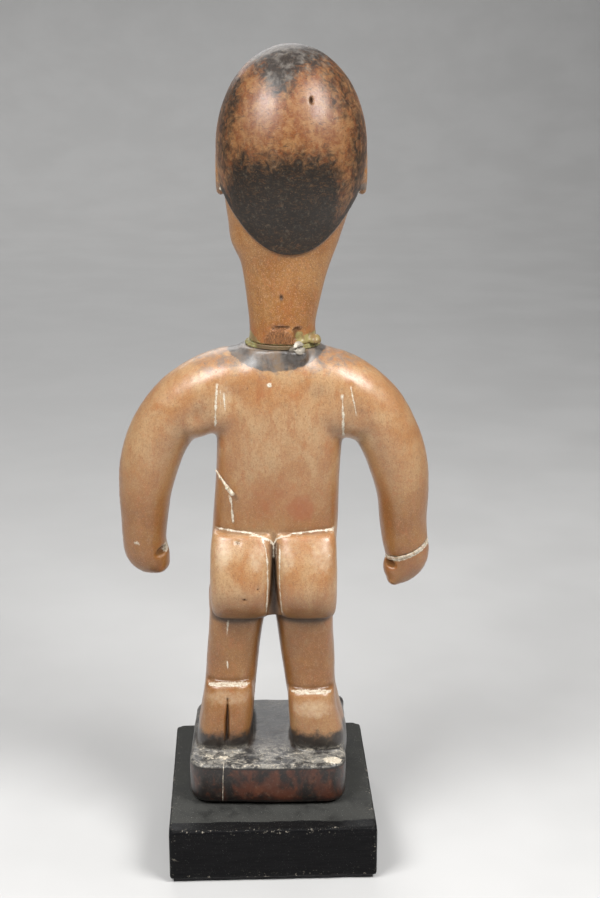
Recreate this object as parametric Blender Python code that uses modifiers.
"""Carved wooden ancestor figure on a black display stand.

Metres, +Z up. The origin is the centre of the stand's underside and the figure faces -Y, so its
left arm is on +X. The head and neck, and the right hand, are breaks that were glued back on.
"""
import math

import bmesh
import bpy
from mathutils import Matrix, Vector

MM = 0.001
GAP = 0.3 * MM  # clearance kept between touching pieces

# Display stand
FELT_THICKNESS = 1.2 * MM
FELT_INSET = 1.5 * MM
STAND_WIDTH = 83 * MM
STAND_DEPTH = 92 * MM
STAND_TOP = 23 * MM
STAND_EDGE = 0.7 * MM
STAND_TURN = math.radians(2.3)  # the carving is screwed down slightly askew on its stand

# Integral plinth of the carving
PLINTH_X = 0.8 * MM
PLINTH_Y = -3 * MM
PLINTH_WIDTH = 64 * MM
PLINTH_DEPTH = 62 * MM
PLINTH_HEIGHT = 18 * MM
PLINTH_BOTTOM = STAND_TOP + GAP
PLINTH_TOP = PLINTH_BOTTOM + PLINTH_HEIGHT

# Shoulders, neck joint and head
SHOULDER_TOP = 212 * MM
NECK_X = -5.7 * MM
NECK_Y = 1 * MM
NECK_FOOT_RADIUS = 13.4 * MM
GLUE_THICKNESS = 1.4 * MM
GLUE_SQUEEZED_OUT = 0.8 * MM
GLUE_FLARE = 0.5 * MM
NECK_FOOT = SHOULDER_TOP + GAP

# Right wrist break: the cut plane slopes down towards the thumb side
WRIST_POINT = Vector((-56 * MM, -3 * MM, 124.5 * MM))
WRIST_NORMAL = Vector((0.4, 0.1, 0.91)).normalized()
WRIST_GLUE = 0.9 * MM
WRIST_GLUE_RADIUS = 8.3 * MM
WRIST_BLOCK = 60 * MM

# Proportions shared by every countersunk screw
SCREW_HEAD_DEPTH = 0.8  # of the head's radius
SCREW_RIM = 0.15  # straight rim, as a share of the head's depth
SCREW_THREAD_END = 0.8  # share of the length where the point begins
SCREW_ROOM = 0.4 * MM
SCREW_MOUTH = 6 * MM
SCREW_STEPS = 20

# Wood screw through the nape into the shoulders
SCREW_HEAD_CENTRE = Vector((-11.4 * MM, 16.2 * MM, 213.2 * MM))
SCREW_DIRECTION = Vector((0.60, -0.70, -0.40)).normalized()
SCREW_HEAD_RADIUS = 2.7 * MM
SCREW_SHANK_RADIUS = 1.35 * MM
SCREW_LENGTH = 24 * MM

# Two countersunk screws from beneath the stand into the plinth
STAND_SCREW_SPACING = 30 * MM
STAND_SCREW_HEAD_RADIUS = 3.4 * MM
STAND_SCREW_SHANK_RADIUS = 1.8 * MM
STAND_SCREW_LENGTH = 32 * MM

# Groove in the left flank, closed with white filler
FLANK_GROOVE = Vector((16.6 * MM, 13.6 * MM, 157 * MM))
FLANK_GROOVE_RADII = (1.5, 1.3, 6.5)
FLANK_GROOVE_SLANT = math.radians(38)

# Fineness of the carved surfaces
SECTION_SIDES = 20
CARVING_VOXEL = 1.7 * MM
CARVING_SMOOTHS = 4
BODY_FACES_KEPT = 0.09
HEAD_FACES_KEPT = 0.12
HAND_FACES_KEPT = 0.3

# Outlines of level sections: 2 is an ellipse, more is boxier
LIMB_SQUARENESS = 2.3
LEG_SQUARENESS = 2.8
FOOT_SQUARENESS = 2.6

# Legs, as level sections (height, x low, x high, y low, y high) in mm
LEFT_LEG = (
    (38, 8.5, 30.5, -12, 12),
    (48, 7.5, 30, -12, 16.5),
    (60, 6.5, 28.2, -12, 16),
    (66.5, 6, 27.2, -12.5, 14.5),
    (68.5, 5.8, 26.8, -13, 10.5),
    (80, 5, 26, -12.5, 11),
    (92, 4, 25, -13, 12.5),
    (106, 0, 24.3, -14, 14),
)
RIGHT_LEG = (
    (38, -32, -9, -12, 12),
    (48, -31, -8, -12, 16.5),
    (60, -28, -7.4, -12, 16),
    (65, -27.4, -6.8, -12.5, 14.5),
    (67, -27, -6.4, -13, 10.5),
    (80, -26.6, -5, -12.5, 11),
    (92, -26, -4.2, -13, 12.5),
    (106, -26, -1, -14, 14),
)

WOOD_COLOUR = (0.42, 0.20, 0.10)


def clear_scene():
    for item in list(bpy.data.objects):
        bpy.data.objects.remove(item, do_unlink=True)


def new_collection(name):
    collection = bpy.data.collections.new(name)
    bpy.context.scene.collection.children.link(collection)
    return collection


def material(name, colour, roughness, metallic=0.0):
    made = bpy.data.materials.new(name)
    made.use_nodes = True
    shader = made.node_tree.nodes["Principled BSDF"]
    shader.inputs["Base Color"].default_value = (*colour, 1.0)
    shader.inputs["Roughness"].default_value = roughness
    shader.inputs["Metallic"].default_value = metallic
    made.diffuse_color = (*colour, 1.0)
    return made


def add_object(name, mesh_builder, collection):
    mesh = bpy.data.meshes.new(name)
    mesh_builder.to_mesh(mesh)
    mesh_builder.free()
    item = bpy.data.objects.new(name, mesh)
    collection.objects.link(item)
    return item


def add_cutter(name, mesh_builder, cutters):
    item = add_object(name, mesh_builder, cutters)
    item.hide_render = True
    item.display_type = "WIRE"
    return item


def boolean(item, other, operation):
    step = item.modifiers.new(f"{operation.title()} {other.name}", "BOOLEAN")
    step.object = other
    step.operation = operation
    step.solver = "EXACT"


def bevel(item, width, segments=2):
    step = item.modifiers.new("Bevel", "BEVEL")
    step.width = width
    step.segments = segments
    step.limit_method = "ANGLE"
    step.angle_limit = math.radians(40)


def carve(item, keep):
    """Melts the joined lofts into one carved skin and keeps this share of its faces."""
    remesh = item.modifiers.new("Remesh", "REMESH")
    remesh.mode = "VOXEL"
    remesh.voxel_size = CARVING_VOXEL
    smooth = item.modifiers.new("Smooth", "SMOOTH")
    smooth.factor = 0.5
    smooth.iterations = CARVING_SMOOTHS
    decimate = item.modifiers.new("Decimate", "DECIMATE")
    decimate.ratio = keep
    decimate.use_collapse_triangulate = True


def smooth_shade(item):
    for face in item.data.polygons:
        face.use_smooth = True


def ring_point(angle, half_width, half_depth, squareness):
    """A point of a superellipse: squareness 2 is an ellipse, more is boxier."""
    across = math.cos(angle)
    along = math.sin(angle)
    x = half_width * math.copysign(abs(across) ** (2 / squareness), across)
    y = half_depth * math.copysign(abs(along) ** (2 / squareness), along)
    return x, y


def loft(rings):
    """Skins rings of (centre, x axis, y axis, half width, half depth, squareness), all in mm."""
    builder = bmesh.new()
    rows = []
    for centre, x_axis, y_axis, half_width, half_depth, squareness in rings:
        row = []
        for side in range(SECTION_SIDES):
            angle = 2 * math.pi * side / SECTION_SIDES
            x, y = ring_point(angle, half_width, half_depth, squareness)
            row.append(builder.verts.new((centre + x_axis * x + y_axis * y) * MM))
        rows.append(row)
    for lower, upper in zip(rows, rows[1:]):
        for side in range(SECTION_SIDES):
            after = (side + 1) % SECTION_SIDES
            builder.faces.new((lower[side], lower[after], upper[after], upper[side]))
    builder.faces.new(list(reversed(rows[0])))
    builder.faces.new(rows[-1])
    bmesh.ops.recalc_face_normals(builder, faces=builder.faces)
    return builder


def upright_loft(levels):
    """A loft of level sections (height, x low, x high, y low, y high, squareness) in mm."""
    rings = []
    for height, x_low, x_high, y_low, y_high, squareness in levels:
        centre = Vector(((x_low + x_high) / 2, (y_low + y_high) / 2, height))
        half_width = (x_high - x_low) / 2
        half_depth = (y_high - y_low) / 2
        rings.append((centre, Vector((1, 0, 0)), Vector((0, 1, 0)), half_width, half_depth, squareness))
    return loft(rings)


def limb_loft(stations):
    """A loft along a path of stations (x, y, z, half thickness, half depth), in mm."""
    points = [Vector(station[:3]) for station in stations]
    rings = []
    for index, station in enumerate(stations):
        before = points[max(index - 1, 0)]
        after = points[min(index + 1, len(points) - 1)]
        tangent = (after - before).normalized()
        depth_axis = (Vector((0, 1, 0)) - tangent * tangent.y).normalized()
        thickness_axis = depth_axis.cross(tangent).normalized()
        rings.append((points[index], thickness_axis, depth_axis, station[3], station[4], LIMB_SQUARENESS))
    return loft(rings)


def block(size, centre):
    builder = bmesh.new()
    bmesh.ops.create_cube(builder, size=1.0)
    bmesh.ops.scale(builder, vec=size, verts=builder.verts)
    bmesh.ops.translate(builder, vec=centre, verts=builder.verts)
    return builder


def ellipsoid(radii, centre):
    builder = bmesh.new()
    bmesh.ops.create_uvsphere(builder, u_segments=24, v_segments=16, radius=1.0)
    bmesh.ops.scale(builder, vec=Vector(radii) * MM, verts=builder.verts)
    bmesh.ops.translate(builder, vec=Vector(centre) * MM, verts=builder.verts)
    return builder


def rod(radius_low, radius_high, length, segments=16):
    builder = bmesh.new()
    bmesh.ops.create_cone(
        builder, cap_ends=True, segments=segments, radius1=radius_low, radius2=radius_high, depth=length
    )
    return builder


def along(builder, start, direction, length):
    """Moves an upright rod so that it runs from start along direction."""
    turn = Vector((0, 0, 1)).rotation_difference(direction).to_matrix().to_4x4()
    place = Matrix.Translation(start + direction * (length / 2))
    bmesh.ops.transform(builder, matrix=place @ turn, verts=builder.verts)
    return builder


def arm_stations(side):
    """Shoulder, elbow, wrist and hand of one arm; side is 1 for the figure's left."""
    if side > 0:
        return (
            (-4, 2, 199, 10, 13),
            (12, 2, 199, 11, 14),
            (25, 2, 193, 12, 14),
            (36, 1, 184, 12.3, 13.5),
            (43.5, 0, 173, 12.2, 12.5),
            (47.5, -1, 162, 11.6, 12),
            (50, -2, 150, 10.4, 11.5),
            (50.8, -3, 138, 9.6, 10.5),
            (51.2, -3.5, 128, 9.4, 10),
            (50, -4, 119, 8.6, 8.5),
            (46.5, -4, 113.5, 5, 6.5),
        )
    return (
        (-6, 2, 199, 10, 13),
        (-20, 2, 199, 11, 14),
        (-32, 2, 192, 12, 14),
        (-42, 1, 182, 12.2, 13.5),
        (-48.5, 0, 171, 12.2, 12.5),
        (-52, -1, 160, 11.4, 12),
        (-53.7, -2, 149, 10.3, 11.5),
        (-54, -3, 137, 9.4, 10.5),
        (-55, -3.5, 127, 9, 9.5),
        (-56, -4, 120, 8, 8.2),
        (-54, -4, 113, 6.2, 7),
        (-51, -4, 108.5, 3.2, 5),
    )


def leg_loft(side):
    """One leg from the plinth to the hip, with the calf standing proud of the thigh behind."""
    levels = LEFT_LEG if side > 0 else RIGHT_LEG
    return upright_loft([(*level, LEG_SQUARENESS) for level in levels])


def foot_loft(side):
    centre = 18.5 if side > 0 else -20
    across = Vector((1, 0, 0))
    up = Vector((0, 0, 1))
    sections = ((6, 43, 10, 7), (-12, 43, 10.5, 8), (-22, 42, 11, 5), (-30, 41, 10, 3.5))
    rings = []
    for y, z, half_width, half_height in sections:
        rings.append((Vector((centre, y, z)), across, up, half_width, half_height, FOOT_SQUARENESS))
    return loft(rings)


def buttock_loft(side):
    centre = 11.4 if side > 0 else -15.6
    return upright_loft((
        (100, centre - 9.8, centre + 9.8, 0, 17, 3.4),
        (104, centre - 11, centre + 11, 0, 22, 3.6),
        (115, centre - 11.4, centre + 11.4, 0, 23, 3.6),
        (129, centre - 11.6, centre + 11.4, 0, 21.5, 3.4),
        (134.5, centre - 11.2, centre + 11, 0, 16.5, 3.2),
    ))


def trunk_loft():
    return upright_loft((
        (101, -25.8, 24.2, -15, 13, 3),
        (112, -26.6, 24.4, -19, 14, 2.8),
        (125, -27, 23.7, -20, 14, 2.8),
        (140, -27.8, 22.6, -18.5, 13.5, 2.8),
        (156, -28, 21.8, -17.5, 15, 2.8),
        (172, -28.6, 21.8, -18, 17, 2.8),
        (188, -29, 23, -17.5, 18, 2.6),
        (200, -26, 19, -15, 17, 2.5),
        (207, -21.5, 13, -13, 15, 2.3),
        (SHOULDER_TOP / MM - 0.2, -19.3, 8.7, -11.5, 14, 2.1),
    ))


def plinth():
    size = Vector((PLINTH_WIDTH, PLINTH_DEPTH, PLINTH_HEIGHT))
    centre = Vector((PLINTH_X, PLINTH_Y, PLINTH_BOTTOM + PLINTH_HEIGHT / 2))
    return block(size, centre)


def body_carving(parts, cutters):
    body = add_object("body_carving", trunk_loft(), parts)
    pieces = [("plinth block", plinth())]
    for side, word in ((1, "left"), (-1, "right")):
        pieces.append((f"{word} arm", limb_loft(arm_stations(side))))
        pieces.append((f"{word} leg", leg_loft(side)))
        pieces.append((f"{word} foot", foot_loft(side)))
        pieces.append((f"{word} buttock", buttock_loft(side)))
        pieces.append((f"{word} breast", ellipsoid((7, 6, 7), (-3 + 12 * side, -16.5, 182))))
    pieces.append(("belly", ellipsoid((15, 9, 17), (-2.5, -16, 138))))
    for name, builder in pieces:
        boolean(body, add_cutter(name, builder, cutters), "UNION")
    carve(body, BODY_FACES_KEPT)
    flat_seats(body, cutters)
    return body


def flat_seats(body, cutters):
    """Trims the plinth's underside and the neck's seat flat."""
    reach = 200 * MM
    below = block(Vector((reach, reach, reach)), Vector((0, 0, PLINTH_BOTTOM - reach / 2)))
    boolean(body, add_cutter("below plinth", below, cutters), "DIFFERENCE")
    seat_size = Vector((60 * MM, 60 * MM, 20 * MM))
    seat_height = SHOULDER_TOP - GLUE_THICKNESS
    seat = block(seat_size, Vector((NECK_X, NECK_Y, seat_height + seat_size.z / 2)))
    boolean(body, add_cutter("neck seat", seat, cutters), "DIFFERENCE")


def wrist_block(offset, towards_hand):
    """A block beyond the wrist's break plane, moved along its normal by offset."""
    builder = block(Vector((WRIST_BLOCK, WRIST_BLOCK, WRIST_BLOCK)), Vector((0, 0, 0)))
    turn = Vector((0, 0, 1)).rotation_difference(WRIST_NORMAL).to_matrix().to_4x4()
    reach = -WRIST_BLOCK / 2 if towards_hand else WRIST_BLOCK / 2
    place = Matrix.Translation(WRIST_POINT + WRIST_NORMAL * (offset + reach))
    bmesh.ops.transform(builder, matrix=place @ turn, verts=builder.verts)
    return builder


def hand_region(cutters):
    """Parts the hand from the arm, leaving the glue line and two gaps between them."""
    hand_side = wrist_block(WRIST_GLUE / 2 + GAP, True)
    return add_cutter("hand side of the wrist", hand_side, cutters)


def right_hand(parts, cutters):
    hand = add_object("right_hand", limb_loft(arm_stations(-1)[5:]), parts)
    thumb = ellipsoid((4, 5, 6), (-48.5, -4, 117))
    boolean(hand, add_cutter("right thumb", thumb, cutters), "UNION")
    carve(hand, HAND_FACES_KEPT)
    arm_side = wrist_block(-WRIST_GLUE / 2 - GAP, False)
    boolean(hand, add_cutter("arm side of the wrist", arm_side, cutters), "DIFFERENCE")
    return hand


def wrist_glue(parts):
    disc = rod(WRIST_GLUE_RADIUS, WRIST_GLUE_RADIUS, WRIST_GLUE, 24)
    start = WRIST_POINT - WRIST_NORMAL * (WRIST_GLUE / 2)
    return add_object("wrist_glue", along(disc, start, WRIST_NORMAL, WRIST_GLUE), parts)


def head_carving(parts, cutters):
    foot = NECK_FOOT / MM
    neck = upright_loft((
        (foot - 3, -19.6, 8.2, -12.5, 14.8, 2.1),
        (foot + 4, -18.4, 7.2, -11.5, 13.8, 2),
        (226, -19.8, 8, -11.5, 13.6, 2),
        (236, -21.8, 9.6, -13.5, 14.2, 2),
        (246, -25.2, 12.3, -19, 15, 2.1),
        (252, -27.6, 14.4, -27, 16, 2.2),
        (260, -30, 16.8, -29.5, 18, 2.2),
        (270, -32, 17.6, -30.5, 20, 2.2),
        (280, -33, 17.8, -31.5, 22, 2.1),
        (296, -31, 16, -29, 21, 2.1),
        (308, -24, 11, -22, 16, 2),
    ))
    head = add_object("head_carving", neck, parts)
    pieces = (
        ("cap of hair", ellipsoid((28, 28.5, 37), (-9.2, -3, 286))),
        ("nape of hair", ellipsoid((20, 17, 23), (-7.6, 4.5, 267))),
        ("nose bridge", ellipsoid((3, 4.5, 12), (-7.8, -30.5, 275))),
        ("nose tip", ellipsoid((5, 4.5, 4), (-7.8, -31.5, 268))),
        ("lips", ellipsoid((7, 3.5, 3), (-7.6, -29.5, 259.5))),
        ("left ear", ellipsoid((3, 5, 9), (17.9, -5, 276))),
        ("right ear", ellipsoid((3, 5, 9), (-36, -5, 275.5))),
    )
    for name, builder in pieces:
        boolean(head, add_cutter(name, builder, cutters), "UNION")
    carve(head, HEAD_FACES_KEPT)
    reach = 100 * MM
    under = block(Vector((reach, reach, reach)), Vector((NECK_X, NECK_Y, NECK_FOOT - reach / 2)))
    boolean(head, add_cutter("neck foot plane", under, cutters), "DIFFERENCE")
    return head


def neck_glue(parts):
    """The glue layer, a little wider than the neck where it squeezed out."""
    thickness = GLUE_THICKNESS - GAP
    radius = NECK_FOOT_RADIUS + GLUE_SQUEEZED_OUT
    disc = rod(radius + GLUE_FLARE, radius, thickness, 36)
    bottom = SHOULDER_TOP - GLUE_THICKNESS + GAP
    place = (NECK_X, NECK_Y, bottom + thickness / 2 - GAP / 2)
    bmesh.ops.translate(disc, vec=place, verts=disc.verts)
    return add_object("neck_glue", disc, parts)


def screw(name, start, direction, head_radius, shank_radius, length, parts, cutters):
    """A countersunk slotted wood screw whose head's centre is at start."""
    head_height = head_radius * SCREW_HEAD_DEPTH
    profile = bpy.data.meshes.new(name)
    outline = (
        (0, 0),
        (head_radius, 0),
        (head_radius, head_height * SCREW_RIM),
        (shank_radius, head_height),
        (shank_radius, length * SCREW_THREAD_END),
        (0, length),
    )
    points = [(radius, 0, depth) for radius, depth in outline]
    profile.from_pydata(points, [(i, i + 1) for i in range(len(points) - 1)], [])
    item = bpy.data.objects.new(name, profile)
    parts.objects.link(item)
    turned = item.modifiers.new("Turned", "SCREW")
    turned.axis = "Z"
    turned.steps = SCREW_STEPS
    turned.render_steps = SCREW_STEPS
    turned.use_merge_vertices = True
    turned.merge_threshold = 0.01 * MM
    turned.use_normal_calculate = True
    turn = Vector((0, 0, 1)).rotation_difference(direction).to_matrix().to_4x4()
    item.matrix_world = Matrix.Translation(start) @ turn
    slot = block(Vector((head_radius * 3, head_radius * 0.3, head_radius * 0.5)), Vector((0, 0, 0)))
    slot_cutter = add_cutter(f"{name} slot", slot, cutters)
    slot_cutter.matrix_world = item.matrix_world
    boolean(item, slot_cutter, "DIFFERENCE")
    return item


def clearance(name, start, direction, head_radius, shank_radius, length, cutters):
    """A hole for a screw, with room all round and an open mouth behind its head."""
    hole_radius = shank_radius + SCREW_ROOM
    hole_depth = length + SCREW_ROOM
    mouth_radius = head_radius + SCREW_ROOM
    mouth_depth = SCREW_MOUTH + head_radius * SCREW_HEAD_DEPTH + SCREW_ROOM
    shank = along(rod(hole_radius, hole_radius, hole_depth, 16), start, direction, hole_depth)
    outside = start - direction * SCREW_MOUTH
    head = along(rod(mouth_radius, mouth_radius, mouth_depth, 20), outside, direction, mouth_depth)
    return add_cutter(f"{name} hole", shank, cutters), add_cutter(f"{name} mouth", head, cutters)


def display_stand(parts):
    height = STAND_TOP - FELT_THICKNESS - GAP
    builder = block(Vector((STAND_WIDTH, STAND_DEPTH, height)), Vector((0, 0, STAND_TOP - height / 2)))
    stand = add_object("display_stand", builder, parts)
    stand.rotation_euler.z = STAND_TURN
    bevel(stand, STAND_EDGE)
    return stand


def felt_base(parts):
    size = Vector((STAND_WIDTH - 2 * FELT_INSET, STAND_DEPTH - 2 * FELT_INSET, FELT_THICKNESS))
    felt = add_object("felt_base", block(size, Vector((0, 0, FELT_THICKNESS / 2))), parts)
    felt.rotation_euler.z = STAND_TURN
    return felt


def flank_lens(room):
    """The long lens shape of the flank's groove, larger all round by room (mm)."""
    builder = ellipsoid([radius + room for radius in FLANK_GROOVE_RADII], (0, 0, 0))
    turn = Matrix.Rotation(FLANK_GROOVE_SLANT, 4, "Y")
    place = Matrix.Translation(FLANK_GROOVE)
    bmesh.ops.transform(builder, matrix=place @ turn, verts=builder.verts)
    return builder


def flank_filler(parts):
    """The plug of white filler let into the groove in the left flank."""
    return add_object("flank_filler", flank_lens(0.0), parts)


def filler_groove(cutters):
    return add_cutter("filler groove", flank_lens(GAP / MM), cutters)


def build():
    clear_scene()
    parts = new_collection("Carved ancestor figure")
    cutters = new_collection("Cutters")

    stand = display_stand(parts)
    felt = felt_base(parts)
    body = body_carving(parts, cutters)
    head = head_carving(parts, cutters)
    hand = right_hand(parts, cutters)
    glue_at_wrist = wrist_glue(parts)
    glue_at_neck = neck_glue(parts)
    filler = flank_filler(parts)

    boolean(body, hand_region(cutters), "DIFFERENCE")
    boolean(body, filler_groove(cutters), "DIFFERENCE")

    nape = (
        "neck_screw",
        SCREW_HEAD_CENTRE,
        SCREW_DIRECTION,
        SCREW_HEAD_RADIUS,
        SCREW_SHANK_RADIUS,
        SCREW_LENGTH,
    )
    screws = [screw(*nape, parts, cutters)]
    hole, mouth = clearance(*nape, cutters)
    for pierced in (head, glue_at_neck, body):
        boolean(pierced, hole, "DIFFERENCE")
        boolean(pierced, mouth, "DIFFERENCE")

    for side, word in ((1, "left"), (-1, "right")):
        start = Vector((side * STAND_SCREW_SPACING / 2, 0, FELT_THICKNESS + 2 * GAP))
        fixing = (
            f"stand_screw_{word}",
            start,
            Vector((0, 0, 1)),
            STAND_SCREW_HEAD_RADIUS,
            STAND_SCREW_SHANK_RADIUS,
            STAND_SCREW_LENGTH,
        )
        screws.append(screw(*fixing, parts, cutters))
        hole, mouth = clearance(*fixing, cutters)
        boolean(stand, hole, "DIFFERENCE")
        boolean(stand, mouth, "DIFFERENCE")
        boolean(body, hole, "DIFFERENCE")

    finishes = (
        ((body, head, hand), "carved wood", WOOD_COLOUR, 0.42, 0.0),
        ((stand,), "black paint", (0.008, 0.008, 0.009), 0.6, 0.0),
        ((felt,), "black felt", (0.02, 0.02, 0.02), 0.95, 0.0),
        ((glue_at_wrist,), "white glue", (0.70, 0.66, 0.58), 0.5, 0.0),
        ((glue_at_neck,), "yellowed glue", (0.42, 0.38, 0.20), 0.35, 0.0),
        ((filler,), "white filler", (0.72, 0.68, 0.60), 0.8, 0.0),
        (tuple(screws), "steel", (0.55, 0.54, 0.52), 0.35, 1.0),
    )
    for items, name, colour, roughness, metallic in finishes:
        for item in items:
            item.data.materials.append(material(f"{item.name} {name}", colour, roughness, metallic))
    for item in (body, head, hand, glue_at_neck, glue_at_wrist, filler, *screws):
        smooth_shade(item)


build()
